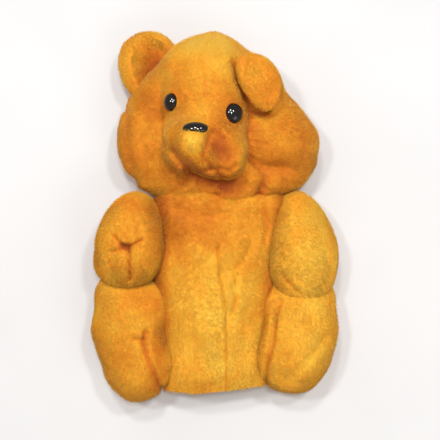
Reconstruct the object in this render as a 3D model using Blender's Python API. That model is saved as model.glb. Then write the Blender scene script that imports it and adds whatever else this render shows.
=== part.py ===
"""A plush bear hand puppet, lying on its back with its limbs where they fell.

The frame: +Z is up, away from the surface it lies on, +Y runs from the hand opening to the crown
of the head, and +X is towards the bear's left hand. The origin is under the middle of its box.
Lengths are in millimetres, and MM turns them into metres as each mesh is made.

Every sewn piece is a panel of plush cut from a "pouch": a bag with a straight spine, an oval
section and rounded ends. Fillings are the same pouches drawn in by the cloth's thickness.
Pieces that move together hang from an empty on their joint's axis.
"""

import math

import bmesh
import bpy
from mathutils import Matrix, Vector

MM = 0.001

# Cloth and gaps
PLUSH = 3.0  # pile and backing together
SEAM_GAP = 0.4  # between two pieces sewn to each other
LINING = 1.0
FILL_INSET = PLUSH + 0.9  # a filling's surface, measured in from the pouch
TIP = 0.998  # a rounded end stops here, at a small gathered hole

# The glove body
HEM_Y = -153.0
NECK_Y = -4.0
BODY_MID_Z = 26.0
BODY_HALF_WIDTHS = (47.0, 50.0, 50.4, 50.2, 49.5, 37.0)
BODY_HALF_HEIGHTS = (23.0, 27.0, 28.0, 27.5, 25.0, 20.0)
LINING_INSET = PLUSH + 0.6
HEM_INSET = LINING_INSET + LINING + 0.4
HEM_SHARE = 0.07  # of the body's length

# The neck: collar, gusset, finger tube and the axis they share
COLLAR_Y = (1.0, 4.4)
GUSSET_Y = (5.2, 8.6)
NECK_HALF = (27.0, 17.0)
NECK_AXIS_Z = 25.0
FINGER_TUBE_Y = (18.0, 92.0)
FINGER_TUBE_R = 12.0
TUBE_WALL = 1.2
TUBE_CLEARANCE = 1.2

# The head
HEAD_BASE_Y = 18.0
CROWN_Y = 164.5
HEAD_MID_Z = 25.0
HEAD_HALF_WIDTHS = (46.0, 73.0, 84.0, 88.5, 88.5, 83.0, 73.0, 61.0, 49.0, 36.0)
HEAD_SHIFTS = (2.0, 2.5, 3.0, 1.0, -1.5, -4.0, -5.0, -5.5, -6.0, -6.0)
HEAD_HALF_HEIGHTS = (21.0, 24.0, 25.5, 26.0, 26.0, 26.0, 26.0, 25.0, 24.0, 23.0)
FACE_MID_X = -9.0
FACE_HALF_WIDTH = 33.0
FACE_RISE = 27.0  # how far the face stands proud of the cheeks
FACE_SEAM = math.radians(97)  # where the two face panels meet, as an angle of the section
HEAD_COLUMNS = (9, 8, 14)  # faces round the left, right and back panels
HEAD_ROWS = 11
FACE_RISE_BY_LENGTH = (0.0, 0.35, 0.8, 1.0, 1.0, 1.0, 1.0, 0.95, 0.75, 0.5)

# The muzzle, its nose and the eyes
MUZZLE_BASE = (-8.0, 58.0, 56.0)
MUZZLE_TIP = (-10.0, 57.0, 104.0)
MUZZLE_HALF = (31.0, 25.0)
MUZZLE_ROOM = 3.0  # between the face and the muzzle sewn to it
NOSE_HALF = (12.5, 8.5)
NOSE_HEIGHT = 6.0
NOSE_SHARE = 0.66  # how far along the muzzle the nose sits
NOSE_SHIFT = -2.5  # towards the bear's right
EYE_RADIUS = 7.8
EYE_HEIGHT = 5.5
EYE_PLACES = {"left": (17.0, 87.5), "right": (-39.0, 98.0)}
SHANK_RADIUS = 2.5
SHANK_LENGTH = 13.0
BUTTON_SEAT = 1.3  # a button's flat back, above the plush
WASHER_RADIUS = 7.0
WASHER_THICKNESS = 1.5
WASHER_DEPTH = 4.9  # from the plush's surface to the washer's near face
WASHER_GRIP = 0.3  # between the washer and the shank
SHANK_ROOM = 0.5  # round the shank, where it goes through the plush
WASHER_ROOM = 0.6  # round the washer, in the filling

# The ears: place, the way their base runs, the way they point
EAR_HALF_WIDTH = 27.0
EAR_THICKNESS = 10.0
EAR_ROOM = 2.5  # between an ear's root and the head
EAR_RIGHT_BASE = (-58.0, 131.0, 24.0)
EAR_RIGHT_ALONG = (0.764, 0.645, 0.0)
EAR_RIGHT_LENGTH = 31.0
EAR_LEFT_BASE = (58.0, 130.0, 49.0)
EAR_LEFT_ALONG = (0.537, -0.844, 0.0)
EAR_LEFT_LENGTH = 34.0
EAR_LEFT_SLOPE = math.radians(25)

# The limbs. The left arm hangs by the side, the right arm stands up from the floor.
SHOULDER = (51.2, -22.0, 24.0)
SHOULDER_HOLE_R = 11.0
ARM_MID_X = 81.0
ARM_HALF_WIDTH = 29.3
ARM_HALF_HEIGHT = 27.5
LEFT_SLEEVE_Y = (-38.0, 13.0)
LEFT_PAW_Y = (-41.0, -76.0)
RIGHT_ARM_Y = -23.0
RIGHT_ARM_HALF_LENGTH = 38.0
RIGHT_SLEEVE_Z = (38.0, -6.0)
RIGHT_PAW_Z = (41.0, 74.0)
SLEEVE_NOTCH = math.tan(math.radians(12))  # the V between sleeve and paw, where the arm bends
PAW_NOTCH = math.tan(math.radians(18))
PAW_FILL = (0.45, 0.97)  # where a paw's filling starts and ends, as shares of the paw's length
LEG_HALF_WIDTHS = (29.0, 29.0, 28.0, 26.0)
LEG_HALF_HEIGHT = 30.0
LEG_MID_Z = 29.0
LEFT_LEG_Y = (-82.0, -158.0)
RIGHT_LEG_Y = (-68.0, -164.4)
LEG_MID_X = (81.0, 79.0)

# Each joint's empty: the empty it hangs from, a point on its axis, and the pieces that it moves
HINGES = {
    "head_tilt": (None, (0, -1.5, 25), ("neck_collar",)),
    "head_turn": ("head_tilt", (0, 4.8, 25), ("neck_gusset",)),
    "head_nod": (
        "head_turn",
        (0, 13, 25),
        (
            "head_back_panel", "face_panel_left", "face_panel_right", "head_filling", "finger_tube",
            "muzzle_upper_panel", "chin_panel", "muzzle_filling", "nose", "nose_washer",
            "eye_left", "eye_left_washer", "eye_right", "eye_right_washer",
        ),
    ),
    "ear_left_fold": ("head_nod", (58, 130, 44), ("ear_left_front", "ear_left_back")),
    "ear_right_fold": ("head_nod", (-63.1, 137, 29.4), ("ear_right_front", "ear_right_back")),
    "shoulder_left": (None, (51.2, -22, 24), ("sleeve_left",)),
    "shoulder_right": (None, (-51.2, -22, 24), ("sleeve_right",)),
    "paw_left_curl": ("shoulder_left", (81, -39.5, 27), ("paw_left", "paw_left_filling")),
    "paw_right_curl": ("shoulder_right", (-81, -23, 39.5), ("paw_right", "paw_right_filling")),
    "hip_left": (None, (51, -103, 29), ("leg_left_front", "leg_left_back", "leg_left_filling")),
    "hip_right": (None, (-51, -96, 29), ("leg_right_front", "leg_right_back", "leg_right_filling")),
}

COLOURS = {  # base colour, roughness
    "plush": ((0.80, 0.36, 0.05), 0.95),
    "lining": ((0.55, 0.33, 0.12), 0.8),
    "filling": ((0.85, 0.84, 0.80), 1.0),
    "black_plastic": ((0.01, 0.01, 0.012), 0.12),
    "washer_plastic": ((0.8, 0.8, 0.78), 0.4),
}


def clear_scene():
    for obj in list(bpy.data.objects):
        bpy.data.objects.remove(obj)


def material(name):
    found = bpy.data.materials.get(name)
    if found:
        return found
    colour, roughness = COLOURS[name]
    made = bpy.data.materials.new(name)
    made.use_nodes = True
    shader = made.node_tree.nodes["Principled BSDF"]
    shader.inputs["Base Color"].default_value = (*colour, 1.0)
    shader.inputs["Roughness"].default_value = roughness
    shader.inputs["Metallic"].default_value = 0.0
    return made


def node(name, bm, finish):
    """Turns a bmesh in millimetres into a named object in metres."""
    bmesh.ops.remove_doubles(bm, verts=bm.verts, dist=1e-4)
    bmesh.ops.recalc_face_normals(bm, faces=bm.faces)
    bmesh.ops.scale(bm, vec=(MM, MM, MM), verts=bm.verts)
    mesh = bpy.data.meshes.new(name)
    bm.to_mesh(mesh)
    bm.free()
    mesh.shade_smooth()
    mesh.set_sharp_from_angle(angle=math.radians(45))
    obj = bpy.data.objects.new(name, mesh)
    bpy.context.scene.collection.objects.link(obj)
    mesh.materials.append(material(finish))
    return obj


def as_cutter(obj):
    obj.hide_render = True
    obj.display_type = "WIRE"
    return obj


def cut(target, *cutters):
    for cutter in cutters:
        modifier = target.modifiers.new("cut_" + cutter.name, "BOOLEAN")
        modifier.operation = "DIFFERENCE"
        modifier.solver = "EXACT"
        modifier.object = cutter


def along(values, t):
    """A smooth curve through evenly spaced values, at t from 0 to 1."""
    last = len(values) - 1
    at = min(max(t, 0.0), 1.0) * last
    i = min(int(at), last - 1)
    f = at - i
    before, start, end, after = (values[min(max(k, 0), last)] for k in (i - 1, i, i + 1, i + 2))
    slope_in, slope_out = (end - before) / 2, (after - start) / 2
    return (
        (2 * f**3 - 3 * f**2 + 1) * start
        + (f**3 - 2 * f**2 + f) * slope_in
        + (-2 * f**3 + 3 * f**2) * end
        + (f**3 - f**2) * slope_out
    )


def signed_power(value, power):
    return math.copysign(abs(value) ** power, value)


class Pouch:
    """A bag: a straight spine, half widths along `across`, half heights along `up`."""

    def __init__(self, start, end, widths, heights, **shape):
        self.start, self.end = Vector(start), Vector(end)
        self.widths, self.heights = widths, heights
        self.across = Vector(shape.get("across", (1, 0, 0)))
        self.up = Vector(shape.get("up", (0, 0, 1)))
        self.round_start = shape.get("round_start", 0.0)  # shares of the length
        self.round_end = shape.get("round_end", 0.0)
        self.squareness = shape.get("squareness", 2.5)
        self.notch = shape.get("notch", 0.0)  # cuts the open start back, per unit of height
        self.floor = shape.get("floor", False)
        self.shifts = shape.get("shifts", (0.0, 0.0))
        self.rise = shape.get("rise")

    def taper(self, t):
        scale = 1.0
        if t < self.round_start:
            scale *= math.sqrt(max(0.0, 1 - (1 - t / self.round_start) ** 2))
        if t > 1 - self.round_end:
            scale *= math.sqrt(max(0.0, 1 - ((t - 1 + self.round_end) / self.round_end) ** 2))
        return scale

    def point(self, u, t, inset=0.0):
        """The pouch's surface at angle u of its section and share t of its length."""
        spine = self.end - self.start
        length = spine.length
        low = inset / length if self.round_start else 0.0
        high = inset / length if self.round_end else 0.0
        place = self.start + spine * (low + t * (1 - low - high))
        scale = self.taper(t)
        power = 2 / self.squareness
        side = signed_power(math.cos(u), power)
        lift = signed_power(math.sin(u), power)
        wide = (along(self.widths, t) - inset) * scale * side
        tall = (along(self.heights, t) - inset) * scale * lift
        made = place + self.across * (wide + along(self.shifts, t)) + self.up * tall
        made += spine.normalized() * (self.notch * max(0.0, tall) * (1 - t))
        if self.rise:
            made.z += self.rise(made.x + inset * scale * side, t) * max(0.0, lift) * scale
        if self.floor:
            made.z = max(made.z, inset)
        return made


def spread(start, end, count, rounded_start=False, rounded_end=False):
    """Shares of the length, closer together where the pouch rounds off."""
    made = []
    for i in range(count + 1):
        s = i / count
        if rounded_start and rounded_end:
            s = (1 - math.cos(math.pi * s)) / 2
        elif rounded_start:
            s = 1 - math.cos(math.pi / 2 * s)
        elif rounded_end:
            s = math.sin(math.pi / 2 * s)
        made.append(start + (end - start) * s)
    return made


def grid_faces(bm, rows, wrap):
    columns = len(rows[0])
    for lower, upper in zip(rows, rows[1:]):
        for i in range(columns if wrap else columns - 1):
            k = (i + 1) % columns
            bm.faces.new((lower[i], lower[k], upper[k], upper[i]))


def wall(bm, outer, inner, wrap):
    grid_faces(bm, [outer, inner], wrap)


def cap(bm, ring):
    """Closes a ring by a fan round its middle."""
    middle = bm.verts.new(sum((v.co for v in ring), Vector()) / len(ring))
    for i, corner in enumerate(ring):
        bm.faces.new((corner, ring[(i + 1) % len(ring)], middle))


def between(name, finish, outside, inside, angles, shares, capped=False):
    """The solid between two surfaces, each a function of (u, t).

    angles: the angles round the section, and whether they go all the way round.
    capped: each surface is closed at its far end. Otherwise a rim joins them there.
    """
    bm = bmesh.new()
    us, wrap = angles
    outer = [[bm.verts.new(outside(u, t)) for u in us] for t in shares]
    inner = [[bm.verts.new(inside(u, t)) for u in us] for t in shares]
    grid_faces(bm, outer, wrap)
    grid_faces(bm, inner, wrap)
    wall(bm, outer[0], inner[0], wrap)
    if capped:
        cap(bm, outer[-1])
        cap(bm, inner[-1])
    else:
        wall(bm, outer[-1], inner[-1], wrap)
    if not wrap:
        wall(bm, [row[0] for row in outer], [row[0] for row in inner], False)
        wall(bm, [row[-1] for row in outer], [row[-1] for row in inner], False)
    return node(name, bm, finish)


def skin(name, pouch, angles, shares, shift=(0, 0, 0), wall_mm=PLUSH, inset=0.0, **more):
    """A panel of cloth: the pouch's surface and the same surface drawn in by the cloth."""
    moved = Vector(shift)
    return between(
        name,
        more.pop("finish", "plush"),
        lambda u, t: pouch.point(u, t, inset) + moved,
        lambda u, t: pouch.point(u, t, inset + wall_mm) + moved,
        angles,
        shares,
        **more,
    )


def steps(start, end, count):
    """Evenly spaced angles from start up to, and not including, end."""
    return [start + (end - start) * i / count for i in range(count)]


def around(columns):
    return steps(0, 2 * math.pi, columns), True


def arc(start, end, count):
    return [*steps(start, end, count), end], False


def upper(columns):
    return arc(0, math.pi, columns)


def under(columns):
    return arc(math.pi, 2 * math.pi, columns)


def face_and_back(*counts):
    """Round the section, through the left face, the right face and the back."""
    corners = (0, FACE_SEAM, math.pi, 2 * math.pi)
    us = []
    for start, end, count in zip(corners, corners[1:], counts):
        us += steps(start, end, count)
    return us, True


def filling(name, pouch, angles, shares, inset=FILL_INSET):
    bm = bmesh.new()
    us = angles[0]
    rows = [[bm.verts.new(pouch.point(u, t, inset)) for u in us] for t in shares]
    grid_faces(bm, rows, True)
    cap(bm, rows[0])
    cap(bm, rows[-1])
    return node(name, bm, "filling")


def rod(name, start, end, radius, columns=14):
    """A cutter: a plain cylinder between two points."""
    start, end = Vector(start), Vector(end)
    bm = bmesh.new()
    turn = (end - start).to_track_quat("Z", "Y").to_matrix().to_4x4()
    bmesh.ops.create_cone(
        bm,
        cap_ends=True,
        segments=columns,
        radius1=radius,
        radius2=radius,
        depth=(end - start).length,
        matrix=Matrix.Translation((start + end) / 2) @ turn,
    )
    return as_cutter(node(name, bm, "filling"))


def make_body():
    """The glove: two belly panels, a back panel, the lining and the hem's facing."""
    pouch = Pouch(
        (0, HEM_Y, BODY_MID_Z), (0, NECK_Y, BODY_MID_Z), BODY_HALF_WIDTHS, BODY_HALF_HEIGHTS, floor=True
    )
    shares = spread(0, 1, 8)
    half_gap, lift = SEAM_GAP / 2, SEAM_GAP
    quarter = math.pi / 2
    panels = [
        skin("back_panel", pouch, under(14), shares),
        skin("belly_panel_left", pouch, arc(0, quarter, 6), shares, (half_gap, 0, lift)),
        skin("belly_panel_right", pouch, arc(quarter, math.pi, 6), shares, (-half_gap, 0, lift)),
    ]
    lining = skin(
        "glove_lining", pouch, around(24), shares, wall_mm=LINING, inset=LINING_INSET, finish="lining"
    )
    skin(
        "hem_facing",
        pouch,
        around(24),
        spread(0, HEM_SHARE, 1),
        wall_mm=LINING,
        inset=HEM_INSET,
        finish="lining",
    )
    return [*panels, lining]


def make_neck():
    """Two bands of cloth between body and head, and the tube that the first finger goes in."""
    for name, (start, end) in (("neck_collar", COLLAR_Y), ("neck_gusset", GUSSET_Y)):
        band = Pouch(
            (0, start, NECK_AXIS_Z), (0, end, NECK_AXIS_Z), (NECK_HALF[0],) * 2, (NECK_HALF[1],) * 2
        )
        skin(name, band, around(20), spread(0, 1, 1))
    tube = finger_tube(FINGER_TUBE_R)
    skin(
        "finger_tube",
        tube,
        around(16),
        spread(0, TIP, 6, rounded_end=True),
        wall_mm=TUBE_WALL,
        finish="lining",
        capped=True,
    )


def finger_tube(radius):
    return Pouch(
        (0, FINGER_TUBE_Y[0], NECK_AXIS_Z),
        (0, FINGER_TUBE_Y[1] + radius - FINGER_TUBE_R, NECK_AXIS_Z),
        (radius, radius),
        (radius, radius),
        squareness=2.0,
        round_end=0.2,
    )


def head_shares():
    return spread(0, TIP, HEAD_ROWS, rounded_end=True)


def head_room(name, distance):
    """A cutter: the whole head, grown by this distance."""
    grown = filling(name, head_pouch(), face_and_back(*HEAD_COLUMNS), head_shares(), inset=-distance)
    return as_cutter(grown)


def head_pouch():
    def rise(x, t):
        from_middle = (x - FACE_MID_X) / FACE_HALF_WIDTH
        return FACE_RISE * along(FACE_RISE_BY_LENGTH, t) * math.exp(-(from_middle**2) ** 1.5)

    return Pouch(
        (0, HEAD_BASE_Y, HEAD_MID_Z),
        (0, CROWN_Y, HEAD_MID_Z),
        HEAD_HALF_WIDTHS,
        HEAD_HALF_HEIGHTS,
        shifts=HEAD_SHIFTS,
        round_end=0.22,
        floor=True,
        rise=rise,
    )


def surface_at(pouch, x, y):
    """The place on the pouch's top over (x, y), and the way the surface faces there."""

    def top(at_x, at_y):
        best = None
        t = (at_y - pouch.start.y) / (pouch.end.y - pouch.start.y)
        for i in range(400):
            found = pouch.point(math.pi * (i + 0.5) / 400, t)
            if best is None or abs(found.x - at_x) < abs(best.x - at_x):
                best = found
        return Vector((at_x, at_y, best.z))

    step = 4.0
    across = top(x + step, y) - top(x - step, y)
    lengthwise = top(x, y + step) - top(x, y - step)
    return top(x, y), across.cross(lengthwise).normalized()


def button(name, place, facing, profile, squash=(1.0, 1.0)):
    """A domed plastic button on a shank, turned about the way it faces.

    profile: (radius, height) from the shank's foot up to the dome's middle.
    """
    turn = facing.to_track_quat("Z", "Y").to_matrix().to_4x4()
    bm = bmesh.new()
    columns = 16
    rows = []
    for radius, height in profile:
        wide = squash if radius > SHANK_RADIUS else (1.0, 1.0)
        ring = [
            (radius * wide[0] * math.cos(a), radius * wide[1] * math.sin(a), height)
            for a in (2 * math.pi * i / columns for i in range(columns))
        ]
        rows.append([bm.verts.new(p) for p in ring])
    grid_faces(bm, rows, True)
    bm.faces.new(rows[0])
    bm.faces.new(rows[-1])
    bmesh.ops.transform(bm, matrix=Matrix.Translation(place) @ turn, verts=bm.verts)
    return node(name, bm, "black_plastic")


def dome_profile(radius, height, seat):
    """A shank with a domed head whose flat back stands `seat` above the plush."""
    rows = [(SHANK_RADIUS, -SHANK_LENGTH), (SHANK_RADIUS, seat), (radius * 0.96, seat)]
    for i in range(5):
        a = math.radians(10 + 17 * i)
        rows.append((radius * math.cos(a), seat + height * math.sin(a)))
    return rows


def fastened(name, place, facing, profile, panels, fills, squash=(1.0, 1.0)):
    """A button through a panel, with its lock washer behind, and the room they need."""
    button(name, place, facing, profile, squash)
    turn = facing.to_track_quat("Z", "Y").to_matrix().to_4x4()
    ring = Pouch(
        (0, 0, -WASHER_DEPTH - WASHER_THICKNESS),
        (0, 0, -WASHER_DEPTH),
        (WASHER_RADIUS,) * 2,
        (WASHER_RADIUS,) * 2,
        up=(0, 1, 0),
        squareness=2.0,
    )
    washer = skin(
        name + "_washer",
        ring,
        around(14),
        (0.0, 1.0),
        wall_mm=WASHER_RADIUS - SHANK_RADIUS - WASHER_GRIP,
        finish="washer_plastic",
    )
    washer.data.transform(Matrix.Translation(place * MM) @ turn)
    behind, before = place - facing * (SHANK_LENGTH - 1), place + facing * (2 * PLUSH)
    shank_room = rod(name + "_shank_room", behind, before, SHANK_RADIUS + SHANK_ROOM)
    deep, shallow = place - facing * (SHANK_LENGTH + 1.5), place - facing * (PLUSH - 0.5)
    washer_room = rod(name + "_washer_room", deep, shallow, WASHER_RADIUS + WASHER_ROOM)
    for panel in panels:
        cut(panel, shank_room)
    for fill in fills:
        cut(fill, washer_room)


def make_head():
    """The stuffed head: a back panel, two face panels and a muzzle in two halves."""
    pouch = head_pouch()
    shares = head_shares()
    half_gap, lift = SEAM_GAP / 2, SEAM_GAP
    skin("head_back_panel", pouch, under(HEAD_COLUMNS[2]), shares)
    face_left = skin(
        "face_panel_left", pouch, arc(0, FACE_SEAM, HEAD_COLUMNS[0]), shares, (half_gap, 0, lift)
    )
    face_right = skin(
        "face_panel_right", pouch, arc(FACE_SEAM, math.pi, HEAD_COLUMNS[1]), shares, (-half_gap, 0, lift)
    )
    bore = finger_tube(FINGER_TUBE_R + TUBE_CLEARANCE)
    fill = between(
        "head_filling",
        "filling",
        lambda u, t: pouch.point(u, t, FILL_INSET),
        bore.point,
        face_and_back(*HEAD_COLUMNS),
        shares,
        capped=True,
    )
    snout, snout_fill = make_muzzle()
    for side, (x, y) in EYE_PLACES.items():
        place, facing = surface_at(pouch, x, y)
        place.z += lift
        panel = face_left if side == "left" else face_right
        profile = dome_profile(EYE_RADIUS, EYE_HEIGHT, BUTTON_SEAT)
        fastened("eye_" + side, place, facing, profile, [panel], [fill])
    nose_place, nose_facing = nose_seat()
    profile = dome_profile(NOSE_HALF[0], NOSE_HEIGHT, BUTTON_SEAT)
    squash = (1.0, NOSE_HALF[1] / NOSE_HALF[0])
    fastened("nose", nose_place, nose_facing, profile, [snout], [snout_fill], squash)


def muzzle_pouch():
    return Pouch(
        MUZZLE_BASE,
        MUZZLE_TIP,
        (MUZZLE_HALF[0], MUZZLE_HALF[0] * 0.97, MUZZLE_HALF[0] * 0.9),
        (MUZZLE_HALF[1], MUZZLE_HALF[1], MUZZLE_HALF[1] * 0.9),
        up=(0, 1, 0),
        squareness=2.2,
        round_end=0.6,
    )


def nose_seat():
    """On the muzzle's upper side, just short of its tip."""
    pouch = muzzle_pouch()
    place = pouch.point(math.pi / 2, NOSE_SHARE)
    place.x += NOSE_SHIFT
    step = 0.06
    above = pouch.point(math.pi / 2, NOSE_SHARE + step) - pouch.point(math.pi / 2, NOSE_SHARE - step)
    facing = Vector((1, 0, 0)).cross(above).normalized()
    if facing.y < 0:
        facing = -facing
    return place, facing


def make_muzzle():
    """The muzzle's upper and lower panels and filling, seated on the face."""
    pouch = muzzle_pouch()
    shares = spread(0, TIP, 5, rounded_end=True)
    snout = skin("muzzle_upper_panel", pouch, upper(10), shares, (0, SEAM_GAP, 0))
    chin = skin("chin_panel", pouch, under(10), shares)
    fill = filling("muzzle_filling", pouch, around(20), shares)
    room = head_room("muzzle_room", MUZZLE_ROOM)
    for piece in (snout, chin, fill):
        cut(piece, room)
    return snout, fill


def make_ear(side, base, along_base, pointing, facing, length):
    """Two layers of plush, lying face to face, rounded at the tip."""
    base, up = Vector(base), Vector(facing)
    pouch = Pouch(
        base,
        base + Vector(pointing).normalized() * length,
        (EAR_HALF_WIDTH * 0.9, EAR_HALF_WIDTH, EAR_HALF_WIDTH),
        (EAR_THICKNESS / 2,) * 2,
        across=along_base,
        up=facing,
        squareness=2.3,
        round_end=0.62,
    )
    shares = spread(0, TIP, 5, rounded_end=True)
    edge = 0.06  # the layers stop short of each other, as an angle of the section
    layers = []
    for name, start, offset in (("front", 0.0, SEAM_GAP), ("back", math.pi, 0.0)):
        lift = up * offset

        def face(u, t, lift=lift):
            return pouch.point(u, t) + lift

        def middle(u, t, offset=offset):
            found = pouch.point(u, t)
            return found - up * ((found - base).dot(up) - offset)

        angles = arc(start + edge, start + math.pi - edge, 9)
        layers.append(between(f"ear_{side}_{name}", "plush", face, middle, angles, shares))
    return layers


def make_ears():
    """The right ear stands out from the head. The left one has folded down over it."""
    outward = (-EAR_RIGHT_ALONG[1], EAR_RIGHT_ALONG[0], 0)
    layers = make_ear("right", EAR_RIGHT_BASE, EAR_RIGHT_ALONG, outward, (0, 0, 1), EAR_RIGHT_LENGTH)
    room = head_room("ear_room", EAR_ROOM)
    for layer in layers:
        cut(layer, room)
    along_base = Vector(EAR_LEFT_ALONG)
    inward = Vector((along_base.y, -along_base.x, 0))
    pointing = inward * math.cos(EAR_LEFT_SLOPE) + Vector((0, 0, math.sin(EAR_LEFT_SLOPE)))
    facing = pointing.cross(along_base)  # the front of a folded ear lies on the head
    make_ear("left", EAR_LEFT_BASE, along_base, pointing, facing, EAR_LEFT_LENGTH)


def make_arms():
    """Each arm is a sleeve with a paw at its end. A finger reaches in through the shoulder."""
    shares = spread(0, TIP, 6, rounded_end=True)
    widths, heights = (ARM_HALF_WIDTH,) * 2, (ARM_HALF_HEIGHT,) * 2
    left_sleeve = Pouch(
        (ARM_MID_X, LEFT_SLEEVE_Y[0], ARM_HALF_HEIGHT - 0.5),
        (ARM_MID_X, LEFT_SLEEVE_Y[1], ARM_HALF_HEIGHT - 0.5),
        widths,
        heights,
        round_end=0.5,
        floor=True,
        notch=SLEEVE_NOTCH,
    )
    left_paw = Pouch(
        (ARM_MID_X - 1, LEFT_PAW_Y[0], ARM_HALF_HEIGHT - 0.5),
        (ARM_MID_X - 4, LEFT_PAW_Y[1], ARM_HALF_HEIGHT - 0.5),
        (ARM_HALF_WIDTH - 1, ARM_HALF_WIDTH - 3),
        heights,
        round_end=0.75,
        floor=True,
        notch=PAW_NOTCH,
    )
    right_sleeve = Pouch(
        (-ARM_MID_X, RIGHT_ARM_Y, RIGHT_SLEEVE_Z[0]),
        (-ARM_MID_X, RIGHT_ARM_Y, RIGHT_SLEEVE_Z[1]),
        widths,
        (RIGHT_ARM_HALF_LENGTH,) * 2,
        up=(0, 1, 0),
        round_end=0.5,
        floor=True,
        notch=SLEEVE_NOTCH,
    )
    right_paw = Pouch(
        (-ARM_MID_X, RIGHT_ARM_Y, RIGHT_PAW_Z[0]),
        (-ARM_MID_X + 1, RIGHT_ARM_Y, RIGHT_PAW_Z[1]),
        (ARM_HALF_WIDTH - 1, ARM_HALF_WIDTH - 3),
        (RIGHT_ARM_HALF_LENGTH,) * 2,
        up=(0, 1, 0),
        round_end=0.9,
        notch=PAW_NOTCH,
    )
    sleeves = {
        "left": skin("sleeve_left", left_sleeve, around(20), shares),
        "right": skin("sleeve_right", right_sleeve, around(20), shares),
    }
    for side, paw in (("left", left_paw), ("right", right_paw)):
        skin(f"paw_{side}", paw, around(18), shares)
        filling(f"paw_{side}_filling", paw, around(18), spread(*PAW_FILL, 3, rounded_end=True))
    return sleeves


def open_shoulders(body_panels, sleeves):
    """The holes that lead from the glove into the sleeves."""
    for side, sign in (("left", 1), ("right", -1)):
        near = Vector((sign * (SHOULDER[0] - 22), SHOULDER[1], SHOULDER[2]))
        far = Vector((sign * (SHOULDER[0] + 18), SHOULDER[1], SHOULDER[2]))
        hole = rod(f"shoulder_hole_{side}", near, far, SHOULDER_HOLE_R, 16)
        for panel in body_panels:
            cut(panel, hole)
        cut(sleeves[side], hole)


def make_legs():
    """Each leg is stuffed: a front panel, a back panel and the filling."""
    for side, sign, (top, foot) in (("left", 1, LEFT_LEG_Y), ("right", -1, RIGHT_LEG_Y)):
        pouch = Pouch(
            (sign * LEG_MID_X[0], top, LEG_MID_Z),
            (sign * LEG_MID_X[1], foot, LEG_MID_Z),
            LEG_HALF_WIDTHS,
            (LEG_HALF_HEIGHT,) * 2,
            round_start=0.36,
            round_end=0.4,
            floor=True,
        )
        shares = spread(1 - TIP, TIP, 8, True, True)
        skin(f"leg_{side}_front", pouch, upper(10), shares, (0, 0, SEAM_GAP))
        skin(f"leg_{side}_back", pouch, under(10), shares)
        filling(f"leg_{side}_filling", pouch, around(20), shares)


def hang_on_hinges():
    """An empty on each joint's axis, with the pieces that turn about it as its children."""
    for name, (above, place, pieces) in HINGES.items():
        empty = bpy.data.objects.new(name, None)
        bpy.context.scene.collection.objects.link(empty)
        origin = HINGES[above][1] if above else (0, 0, 0)
        empty.parent = bpy.data.objects.get(above) if above else None
        empty.location = (Vector(place) - Vector(origin)) * MM
        for piece in pieces:
            obj = bpy.data.objects[piece]
            obj.parent = empty
            obj.location = -Vector(place) * MM


def main():
    clear_scene()
    body_panels = make_body()
    make_neck()
    make_head()
    make_ears()
    sleeves = make_arms()
    open_shoulders(body_panels, sleeves)
    make_legs()
    hang_on_hinges()


main()
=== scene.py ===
"""The looks of the bear hand puppet: plush skins with their pile, glossy eyes and nose, cloth inside.

Lengths are in millimetres until a mesh is made. +Z is up from the floor, +Y runs to the crown of
the head and +X towards the bear's left hand. A skin is found by sending rays out from a middle
point to where a field of rounded shapes ends, and only the glove's is a tube made ring by ring.
"""

import math

import bmesh
import bpy
import numpy as np
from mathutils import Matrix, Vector


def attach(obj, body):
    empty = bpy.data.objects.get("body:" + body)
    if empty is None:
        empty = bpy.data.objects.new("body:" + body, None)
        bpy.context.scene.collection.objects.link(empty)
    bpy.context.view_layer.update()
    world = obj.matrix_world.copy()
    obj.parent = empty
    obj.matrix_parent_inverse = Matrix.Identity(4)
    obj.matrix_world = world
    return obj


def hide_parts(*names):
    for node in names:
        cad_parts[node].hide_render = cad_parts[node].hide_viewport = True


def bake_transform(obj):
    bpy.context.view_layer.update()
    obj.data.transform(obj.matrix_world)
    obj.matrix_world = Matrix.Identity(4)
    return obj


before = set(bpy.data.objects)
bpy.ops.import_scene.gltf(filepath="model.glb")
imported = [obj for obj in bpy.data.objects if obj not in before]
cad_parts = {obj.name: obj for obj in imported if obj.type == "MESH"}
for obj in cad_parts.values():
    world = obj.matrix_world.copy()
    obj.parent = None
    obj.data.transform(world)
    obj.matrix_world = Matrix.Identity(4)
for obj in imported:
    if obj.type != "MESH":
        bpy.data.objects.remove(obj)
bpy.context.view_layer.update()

MM = 0.001
FLOOR_GAP = 0.9  # between the floor and the skins that lie on it
FLOOR_SOFT = 5.0  # the fillet where a form meets the floor
BAG_POWER = 2.4  # how square a bag's section is: 2 is an ellipse
UPPER_Z, UPPER_FADE = 20, 14  # folds fade in over this height, so that the underside has none
RAY_STEPS, RAY_HALVINGS = 70, 9  # how finely a ray looks for the last place it leaves a field
NARROW_FOLD = 4  # folds narrower than this get painted shade inside
FOLD_PAINTED_SHADE = 0.07  # tone lost to painted shade for a millimetre of such a fold

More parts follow.
